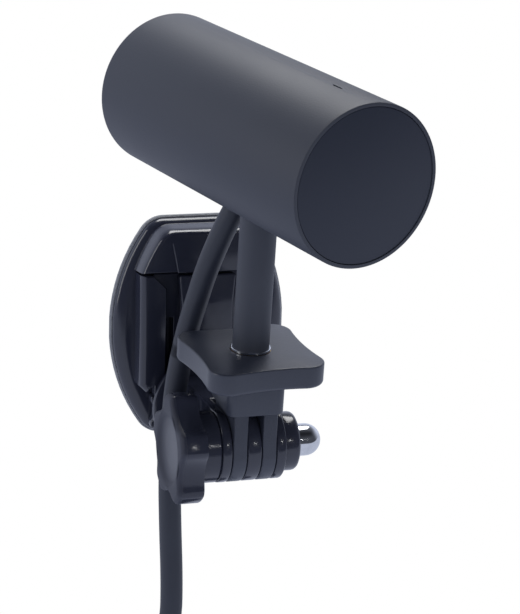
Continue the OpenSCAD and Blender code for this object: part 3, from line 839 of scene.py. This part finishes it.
knob_line = flattened(lobed(5, knob_tip_r, knob_lobe_r, knob_valley_r, knob_phase), knob_r)
knob_layers = [
    *[(scaled_to(knob_line, blend, dish_r + wider), knob_out + deep) for blend, wider, deep in (
        (1, 0.01 - dish_r, 1.1), (1, -3.5, 1.05), (1, -1.5, 0.85), (1, -0.5, 0.45), (1, 0, 0.15),
        (0.95, 0.35, 0.02), (0.8, 0.7, 0),
    )],
    *[(inset(knob_line, 1.3 * (1 - math.sin(math.radians(a)))),
       knob_out + 1.2 * (1 - math.cos(math.radians(a)))) for a in range(0, 91, 15)],
    *[(inset(knob_line, less), knob_in - off) for less, off in ((0, 0.7), (0.2, 0.2), (0.7, 0))],
    *[(scaled_to(knob_line, 1, r), x) for r, x in (
        (7.6, knob_in), (7.4, knob_in + 0.15), (7.4, knob_collar - 0.3), (7.1, knob_collar),
        (2.6, knob_collar),
    )],
]
knob = lofted("thumbscrew_knob_moulding", [
    [Vector((x, hinge_y + u, hinge_z + v)) * MM for u, v in line] for line, x in knob_layers
], 35)
# The same plastic, polished on its sides and left satin on the face by the tool
knob_plastic, tree, place = new_material("knob_polycarbonate_satin_face")
swirl = put(tree, "ShaderNodeTexNoise", {"Vector": place, "Scale": 300, "Detail": 3})
spark = put(tree, "ShaderNodeTexNoise", {"Vector": place, "Scale": 3000, "Detail": 2})
across = put(tree, "ShaderNodeSeparateXYZ", {0: place})
sheen = put(tree, "ShaderNodeMapRange", {
    "Value": across.outputs["X"], "From Min": (knob_out + 0.5) * MM,
    "From Max": (knob_out + 1.4) * MM, "To Min": 0.62, "To Max": 0.14,
})
raised = put(tree, "ShaderNodeBump", {"Height": spark, "Strength": 0.15, "Distance": 0.0001})
finish_material(tree, swirl, "#2b2e3b", "#313443", Roughness=sheen, IOR=1.5, Normal=raised)
dress(knob, knob_plastic, "thumbscrew", "black_gloss_moulding", "thumbscrew_knob")

# Zinc plate: cool grey, with the fine tooth of rolled threads
steel, tree, place = new_material("zinc_plated_steel")
cut = put(tree, "ShaderNodeTexNoise", {"Vector": place, "Scale": 1800, "Detail": 3})
raised = put(tree, "ShaderNodeBump", {"Height": cut, "Strength": 0.15, "Distance": 0.0001})
finish_material(tree, cut, "#9da0a5", "#bcbfc4", Metallic=1.0, Roughness=0.32, Normal=raised)
refinish(steel, "thumbscrew_shank", "adapter_stud", "post_screw", "sensor_screws")

# === Dome nut ===
# Plated steel, bright as a mirror: a hexagon let into the buckle's boss, and a short
# round body closed by a dome over the screw's end.

# Chrome over nickel: mirrors what is round it, softened by fine pitting
bright, tree, place = new_material("bright_chrome_plate")
pitting = put(tree, "ShaderNodeTexNoise", {"Vector": place, "Scale": 900, "Detail": 3})
gloss = put(tree, "ShaderNodeMapRange", {"Value": pitting, "To Min": 0.05, "To Max": 0.13})
finish_material(tree, pitting, "#c6c8cc", "#dfe1e4", Metallic=1.0, Roughness=gloss)
hexagon = arc(hinge_y, hinge_z, hexagon_r, 30, 330, 5)
dome_r, dome_centre = 3.35, 12.95
dome_profile = [
    (3.1, 10), (3.15, 10.35), (dome_r, 10.55), *arc(0, dome_centre, dome_r, 0, 80, 8),
    (0.02, dome_centre + dome_r),
]
dome_nut = joined("dome_nut", [
    prism("hexagon", hexagon, 7.2, 10.2, 0.35, "X"),
    turned_piece("dome", dome_profile, hinge, 64, "X"),
], 35)
dress(dome_nut, bright, "buckle", "chrome_plate", "acorn_nut")

# === Two-prong adapter ===
# Glass-filled nylon with a fine spark texture: two round-ended prongs between the
# buckle's fingers, joined under a square-set block with a moulded-in stud.
arm_lean = math.radians(6.5)
in_arm = Matrix.Translation(hinge) @ Matrix.Rotation(arm_lean, 4, "X")
prong_x0, prong_x1 = 1.6, 4.6
block_x, block_y, block_low, block_top = 6, 6.8, 8.9, 16.15

# Glass-filled nylon from a spark-eroded tool: soft sheen, fine grain and flow marks
nylon, tree, place = new_material("spark_textured_nylon")
spark = put(tree, "ShaderNodeTexNoise", {"Vector": place, "Scale": 3000, "Detail": 2})
flow = put(tree, "ShaderNodeTexNoise", {"Vector": place, "Scale": 160, "Detail": 4})
raised = put(tree, "ShaderNodeBump", {"Height": spark, "Strength": 0.3, "Distance": 0.00012})
matt = put(tree, "ShaderNodeMapRange", {"Value": flow, "To Min": 0.3, "To Max": 0.42})
finish_material(tree, flow, "#353a47", "#3e424f", Roughness=matt, Normal=raised)


def settled(piece, matrix):
    """Moves a piece made upright at the origin into its place, in its mesh."""
    piece.data.transform(matrix)
    piece.data.update()
    return piece


adapter_parts = []
for sign in (-1, 1):
    outline = [
        *arc(0, 0, finger_r, 180, 360, 40), (block_y + 0.2, 3.3), (block_y - 0.1, block_low + 0.6),
        (-block_y + 0.1, block_low + 0.6), (-block_y - 0.2, 3.3),
    ]
    low, high = sorted((sign * prong_x0, sign * prong_x1))
    prong = prism("prong", outline, low, high, 0.35, "X")
    adapter_parts.append(pierced(prong, [turned_piece(
        "drill", [(screw_hole, low - 1), (screw_hole, high + 1)], origin, 48, "X")]))
block_line, corner = [], 1.8
for turn, side_x, side_y in ((0, 1, 1), (90, -1, 1), (180, -1, -1), (270, 1, -1)):
    centre = side_x * (block_x - corner), side_y * (block_y - corner)
    block_line += arc(*centre, corner, turn, turn + 90, 8)
adapter_block = prism("adapter_block", block_line, block_low, block_top, 0.45, "Z")
adapter = settled(joined("adapter_moulding", [*adapter_parts, adapter_block], 40), in_arm)
dress(adapter, nylon, "arm", "black_nylon_moulding", "adapter")

# === Lock nut ===
# The same nylon: a flat four-lobed wheel with hollow sides and rounded edges, on a
# brass insert. It is screwed up the stud against the post's foot.
nut_low, nut_top, insert_r = 16.25, 21, 4.4
nut_r, nut_lobe_r, nut_valley_r, nut_phase = 15.8, 4, 11.7, 50
nut_line = lobed(4, nut_r, nut_lobe_r, nut_valley_r, nut_phase)
nut_layers = [
    (scaled_to(nut_line, 1, insert_r), nut_low), (inset(nut_line, 1), nut_low),
    *[(inset(nut_line, 0.9 * (1 - math.sin(math.radians(a)))),
       nut_low + 0.9 * (1 - math.cos(math.radians(a)))) for a in range(15, 91, 15)],
    *[(inset(nut_line, 0.35 * (1 - math.cos(math.radians(a)))),
       nut_top - 0.35 * (1 - math.sin(math.radians(a)))) for a in range(0, 91, 15)],
    (scaled_to(nut_line, 1, 4.15), nut_top + 0.03),
    (scaled_to(nut_line, 1, 4.08), nut_top - 0.1),
    (scaled_to(nut_line, 1, insert_r), nut_top - 0.1),
]
lock_nut = ring_band("lock_nut_wheel", [
    [Vector((u, v, z)) * MM for u, v in line] for line, z in nut_layers
], 35)
settled(lock_nut, in_arm)
dress(lock_nut, nylon, "lock_nut", "black_nylon_moulding", "lock_nut")

# === Post and its foot ring ===
# Aluminium rod, powder coated like the tube, with a bright ring under its foot that
# the lock nut bears on.
head_turn = math.radians(15.2)
in_head = in_arm @ Matrix.Rotation(head_turn, 4, "Z")
post_r, tube_axis, tube_r = 3.75, 65.75, 15.95

# Powder coat: an even matt grain whose sheen drifts slowly
coat, tree, place = new_material("fine_matt_powder_coat")
orange_peel = put(tree, "ShaderNodeTexNoise", {"Vector": place, "Scale": 2400, "Detail": 3})
drift = put(tree, "ShaderNodeTexNoise", {"Vector": place, "Scale": 70, "Detail": 5})
# The real coat's speckle is about 0.1 mm; drawn at 0.4 mm so that it shows
raised = put(tree, "ShaderNodeBump", {"Height": orange_peel, "Strength": 0.22, "Distance": 0.0001})
matt = put(tree, "ShaderNodeMapRange", {"Value": drift, "To Min": 0.5, "To Max": 0.6})
finish_material(tree, drift, "#373b46", "#3d414d", Roughness=matt, IOR=1.5, Normal=raised)
post = settled(turned_piece("post_rod", [
    (3.06, 21.5), (3.5, 21.4), (post_r, 21.5), (post_r, 53), (3.5, 53.2),
], origin, 64), in_head)
dress(post, coat, "head", "painted_aluminium", "mounting_post")
foot_ring = settled(turned_piece("post_foot_ring", [
    (3.1, 21.05), (4, 21.05), (4.1, 21.15), (4.1, 21.5), (4, 21.6), (3.78, 21.62), (3.1, 21.4),
], origin, 64), in_head)
dress(foot_ring, bright, "head", "chrome_plate", "post_ring")

# === Camera tube ===
# Drawn aluminium with a fine matt powder coat: open at the rear, and closed at the
# lens end by a rolled lip. A short slot for the indicator is cut in its top.
in_tube = in_head @ Matrix.Translation((0, 0, tube_axis * MM)) @ Matrix.Rotation(
    math.radians(-90), 4, "X"
)
bore_r, tube_rear, tube_front, lip_r = 14.75, -34.6, 37.4, 11.6
edge_r, cap_rim_r = 1.2, 15.15
tube_profile = [
    (bore_r, tube_rear + 0.8), (cap_rim_r, tube_rear + 0.8), (cap_rim_r, tube_rear + 0.1),
    (cap_rim_r + 0.06, tube_rear), (tube_r - 0.22, tube_rear), (tube_r - 0.07, tube_rear + 0.06),
    (tube_r, tube_rear + 0.22),
]
tube_profile += arc(tube_r - edge_r, tube_front - edge_r, edge_r, 0, 90, 9)
tube_profile += [(lip_r + 0.4, tube_front), (lip_r + 0.1, tube_front - 0.15),
                 (lip_r, tube_front - 0.5), (lip_r, 35.4), (bore_r, 35.4)]


def turned_band(name, profile, sides=128):
    """A lathe-turned solid with a hole through it: its profile closes on itself."""
    return ring_band(name, [
        [Vector((r * math.cos(t), r * math.sin(t), h)) * MM
         for t in (2 * math.pi * k / sides for k in range(sides))]
        for r, h in profile
    ], 35)


tube = turned_band("camera_tube_shell", tube_profile)


def standing_rod(name, x, y, r, low, high):
    """A cutter along the post, in the head's own frame, turned into the tube's."""
    rod_piece = turned_piece(name, [(r, low), (r, high)], Vector((x, y, 0)) * MM, 48)
    return settled(rod_piece, in_tube.inverted() @ in_head)


def slot_cutter(middle, half_length, half_width, low, high):
    """A round-ended slot along the tube, its middle at a distance from the post."""
    line = (arc(0, middle + half_length - half_width, half_width, 0, 180, 8)
            + arc(0, middle + half_width - half_length, half_width, 180, 360, 8))
    return settled(prism("slot", line, low, high, 0, "Z"), in_tube.inverted() @ in_head)


pierced(tube, [
    standing_rod("post_hole", 0, 0, post_r + 0.06, 45, 56),
    standing_rod("cable_hole", 0, 8.5, 3.2, 45, 56),
    slot_cutter(-23.2, 1.5, 0.25, tube_axis, tube_axis + 20),
])
settled(tube, in_tube)
dress(tube, coat, "head", "painted_aluminium", "camera_tube")

# Smoked acrylic: almost black, with one clean glint
smoked, tree, place = new_material("smoked_light_pipe")
cloud = put(tree, "ShaderNodeTexNoise", {"Vector": place, "Scale": 500, "Detail": 2})
finish_material(tree, cloud, "#0b0c10", "#14161b", Roughness=0.2)
indicator = settled(prism(
    "indicator_pipe", [(-0.23, -24.65), (0.23, -24.65), (0.23, -21.75), (-0.23, -21.75)],
    tube_axis + bore_r - 0.6, tube_axis + tube_r - 0.35, 0.05, "Z",
), in_head)
dress(indicator, smoked, "head", "indicator_plastic", "indicator_lens")

# === Rear cap ===
# A plain satin disc pressed into the tube's open rear end, level with its rim,
# with a rounded edge that leaves a fine dark line inside the rim.

# ABS from an etched tool: smooth satin, very slightly cloudy
satin_abs, tree, place = new_material("satin_moulded_abs")
grain = put(tree, "ShaderNodeTexNoise", {"Vector": place, "Scale": 2600, "Detail": 2})
shade = put(tree, "ShaderNodeTexNoise", {"Vector": place, "Scale": 55, "Detail": 4})
raised = put(tree, "ShaderNodeBump", {"Height": grain, "Strength": 0.12, "Distance": 0.0001})
satin = put(tree, "ShaderNodeMapRange", {"Value": shade, "To Min": 0.4, "To Max": 0.5})
finish_material(tree, shade, "#1f2534", "#242a3a", Roughness=satin, Normal=raised)
cap_face = tube_rear + 0.1
cap = settled(turned_piece("rear_cap_disc", [
    (0.01, cap_face), (cap_rim_r - 0.3, cap_face), (cap_rim_r - 0.12, cap_face + 0.05),
    (cap_rim_r - 0.06, cap_face + 0.2), (cap_rim_r - 0.06, tube_rear + 0.75),
    (14.6, tube_rear + 0.78), (14.6, -32.95), (13.7, -32.9), (13.7, -31.75), (14.6, -31.7),
    (14.6, -31.05), (14.3, -31), (11.75, -31), (11.75, -32), (0.01, -32),
], origin, 128), in_tube)
dress(cap, satin_abs, "head", "rear_cap_plastic", "rear_cap")

# === Lens end ===
# A coated cover glass on a rubber seal behind the tube's lip, held by an anodised ring,
# with a black mask round the lens barrel and a domed front element.

# Coated glass: clear, with a faint blue film
clear, tree, place = new_material("coated_cover_glass")
film = put(tree, "ShaderNodeTexNoise", {"Vector": place, "Scale": 40, "Detail": 2})
finish_material(
    tree, film, "#dfe6ee", "#f0f4f8",
    Roughness=0.02, Transmission_Weight=1.0, Alpha=0.3, IOR=1.45, Coat_Weight=0.3,
    Coat_Tint=linear("#9fb6ff"),
)
glass = settled(turned_piece("cover_glass_disc", [
    (0.01, 33.3), (14.3, 33.3), (14.5, 33.5), (14.5, 34.7), (14.3, 34.9), (0.01, 34.9),
], origin, 96), in_tube)
dress(glass, clear, "head", "clear_glass", "cover_glass")

# Black anodising: charcoal with a slight metal gleam and fine turning marks
anodised, tree, place = new_material("black_anodised_aluminium")
turning = put(tree, "ShaderNodeTexNoise", {"Vector": place, "Scale": 3000, "Detail": 3})
raised = put(tree, "ShaderNodeBump", {"Height": turning, "Strength": 0.2, "Distance": 0.00008})
finish_material(tree, turning, "#0f1013", "#191a1e", Metallic=0.4, Roughness=0.42, Normal=raised)
barrel_profile = [
    (4.3, 20.2), (5.8, 20.2), (6, 20.4), (6, 28.3), (7, 28.4), (7.2, 28.6), (7.2, 32.6),
    (7, 32.85), (6.5, 32.9), (6.2, 32.6), (6.2, 28.9), (4.3, 28.9),
]
barrel = settled(turned_band("lens_barrel_turned", barrel_profile, 96), in_tube)
dress(barrel, anodised, "head", "black_anodised", "lens_barrel")
mask = settled(turned_band("lens_mask_ring", [
    (7.6, 30.3), (14.4, 30.3), (14.5, 30.4), (14.5, 31), (14.3, 31.1), (13, 31.1), (12.6, 30.8),
    (8.6, 30.8), (8.2, 31.1), (7.75, 31.1), (7.6, 30.9),
], 96), in_tube)
dress(mask, anodised, "head", "black_anodised", "lens_mask")
refinish(anodised, "glass_retainer")

# Multicoated glass: almost black when faced, with a painted reflection of the coating that turns
# the colour violet towards its rim
coated, tree, place = new_material("multicoated_lens_glass")
bloom_and_painted_reflection = put(tree, "ShaderNodeLayerWeight", {"Blend": 0.45})
finish_material(
    tree, bloom_and_painted_reflection.outputs["Facing"], "#0a0c16", "#2a2350",
    Roughness=0.03, IOR=1.7, Coat_Weight=0.6, Coat_Tint=linear("#8fa8ff"),
)
lens_r, lens_edge, lens_rise = 6.15, 30.4, 2.1
front_profile = [(6.1, 29), (lens_r, lens_edge)]
front_profile += [(lens_r * x, lens_edge + lens_rise * y) for x, y in arc(0, 0, 1, 8, 88, 10)]
front_profile.append((0.02, lens_edge + lens_rise))
element = settled(turned_piece("front_lens_element", front_profile, origin, 96), in_tube)
dress(element, coated, "head", "clear_glass", "front_lens")
refinish(coated, "inner_lenses")

# === Inside the tube ===
# Boards, holder, chassis, seals and wires keep the shapes they are designed with.
# They are sealed in, so each gets its real finish and nothing more.

# Solder mask: deep green, with paler lines where the tracks run
solder_mask, tree, place = new_material("green_solder_mask")
tracks = put(tree, "ShaderNodeTexBrick", {
    "Vector": place, "Scale": 500, "Mortar Size": 0.04, "Color1": linear("#17492f"),
    "Color2": linear("#1b5437"), "Mortar": linear("#2a6f49"),
})
raised = put(tree, "ShaderNodeBump", {
    "Height": tracks.outputs["Fac"], "Strength": 0.2, "Distance": 0.0001,
})
mask_surface = put(tree, "ShaderNodeBsdfPrincipled", {
    "Base Color": tracks.outputs["Color"], "Roughness": 0.35, "Normal": raised,
})
put(tree, "ShaderNodeOutputMaterial", {"Surface": mask_surface})

# Milled aluminium: pale grey, in the cutter's strokes
milled, tree, place = new_material("milled_aluminium")
strokes = put(tree, "ShaderNodeTexWave", {"Vector": place, "Scale": 900, "Distortion": 2})
finish_material(tree, strokes.outputs["Fac"], "#8d9199", "#a5a9b0", Metallic=1.0, Roughness=0.38)


def moulded(name, first, second, roughness):
    """A plain moulded plastic of two close tones, with a fine grain."""
    material, tree, place = new_material(name)
    grain = put(tree, "ShaderNodeTexNoise", {"Vector": place, "Scale": 1600, "Detail": 3})
    bump = put(tree, "ShaderNodeBump", {"Height": grain, "Strength": 0.2, "Distance": 0.0001})
    finish_material(tree, grain, first, second, Roughness=roughness, Normal=bump)
    return material


epoxy = moulded("moulded_chip_epoxy", "#1a1c20", "#26282d", 0.55)
natural = moulded("natural_nylon", "#d6d1c3", "#e8e4d8", 0.5)
sleeve = moulded("red_wire_sleeve", "#8e2f2a", "#a93d36", 0.45)
refinish(solder_mask, "sensor_board", "main_board")
refinish(milled, "post_socket")
refinish(epoxy, "image_sensor", "board_chips", "lens_holder")
refinish(nylon, "board_cradle")
refinish(natural, "board_plug")
refinish(sleeve, "inner_wires")
refinish(rubber, "entry_gasket", "rear_seal", "front_seal", "cable_grommet")
refinish(jacket, "cable_stub")

# === Studio ===
# A white floor that runs out of sight, a large soft light above and behind the object,
# a strip on its left, a small light and a broad fill in front. What the gloss parts
# mirror is bright behind and below, and dark in front and overhead.
floor_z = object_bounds()[0].z - 0.02
floor_mesh = bpy.data.meshes.new("studio_floor")
reach = 30
floor_mesh.from_pydata(
    [(x * reach, y * reach, floor_z) for x, y in ((-1, -1), (1, -1), (1, 1), (-1, 1))],
    [], [(0, 1, 2, 3)],
)
floor = bpy.data.objects.new("studio_floor", floor_mesh)
bpy.context.scene.collection.objects.link(floor)
# White sweep paper: plain white to the eye, and dim in front where it is mirrored
paper, tree, place = new_material("white_sweep_paper")
seen = put(tree, "ShaderNodeEmission", {"Color": (1, 1, 1, 1), "Strength": 1.0})
across = put(tree, "ShaderNodeSeparateXYZ", {0: place})
dim = put(tree, "ShaderNodeMapRange", {
    "Value": across.outputs["Y"], "From Min": -0.8, "From Max": -0.66, "To Min": 0.1, "To Max": 0.8,
}, interpolation_type="SMOOTHSTEP")
spill = put(tree, "ShaderNodeEmission", {"Color": linear("#e3eaff"), "Strength": dim})
ray = put(tree, "ShaderNodeLightPath")
either = put(tree, "ShaderNodeMixShader", {0: ray.outputs["Is Camera Ray"], 1: spill, 2: seen})
put(tree, "ShaderNodeOutputMaterial", {"Surface": either})
floor_mesh.materials.append(paper)


def softbox(name, where, target, wide, tall, power, mirrored_in_gloss=True):
    """A rectangular light at a place in metres, facing the target."""
    lamp = bpy.data.lights.new(name, "AREA")
    lamp.shape = "RECTANGLE"
    lamp.size, lamp.size_y, lamp.energy = wide, tall, power
    light = bpy.data.objects.new(name, lamp)
    aim_at = (Vector(where) - Vector(target)).to_track_quat("Z", "Y").to_matrix().to_4x4()
    light.matrix_world = Matrix.Translation(where) @ aim_at
    light.visible_glossy = mirrored_in_gloss
    bpy.context.scene.collection.objects.link(light)


middle = (0, -0.03, 0.02)
softbox("top_box", (0.15, 0.3, 0.85), middle, 0.6, 0.6, 7.5)
softbox("front_strip", (0.33, -1.0, 0.28), middle, 0.03, 0.05, 0.25)
softbox("left_strip", (-0.9, -0.1, 0.3), middle, 0.25, 0.7, 1.6)
softbox("front_fill", (0.1, -1.1, 0.0), middle, 0.9, 0.9, 4, mirrored_in_gloss=False)

room = bpy.data.worlds.new("studio_room")
room.use_nodes = True
tree = room.node_tree
tree.nodes.clear()
facing = put(tree, "ShaderNodeSeparateXYZ", {
    0: put(tree, "ShaderNodeTexCoord").outputs["Generated"],
})
# The room: bright behind the object, dim in front of it and overhead
behind = put(tree, "ShaderNodeMapRange", {
    "Value": facing.outputs["Y"], "From Min": -0.5, "From Max": 0.6, "To Min": 0.1, "To Max": 0.95,
}, interpolation_type="SMOOTHSTEP")
overhead = put(tree, "ShaderNodeMapRange", {
    "Value": facing.outputs["Z"], "From Min": 0.3, "From Max": 0.8, "To Min": 1, "To Max": 0.25,
}, interpolation_type="SMOOTHSTEP")
glow = put(tree, "ShaderNodeMath", {0: behind, 1: overhead}, operation="MULTIPLY")
spill = put(tree, "ShaderNodeBackground", {"Color": linear("#e3eaff"), "Strength": glow})
seen = put(tree, "ShaderNodeBackground", {"Color": (1, 1, 1, 1), "Strength": 1})
ray = put(tree, "ShaderNodeLightPath")
either = put(tree, "ShaderNodeMixShader", {0: ray.outputs["Is Camera Ray"], 1: spill, 2: seen})
put(tree, "ShaderNodeOutputWorld", {"Surface": either})
bpy.context.scene.world = room
bpy.context.scene.view_settings.view_transform = "Standard"
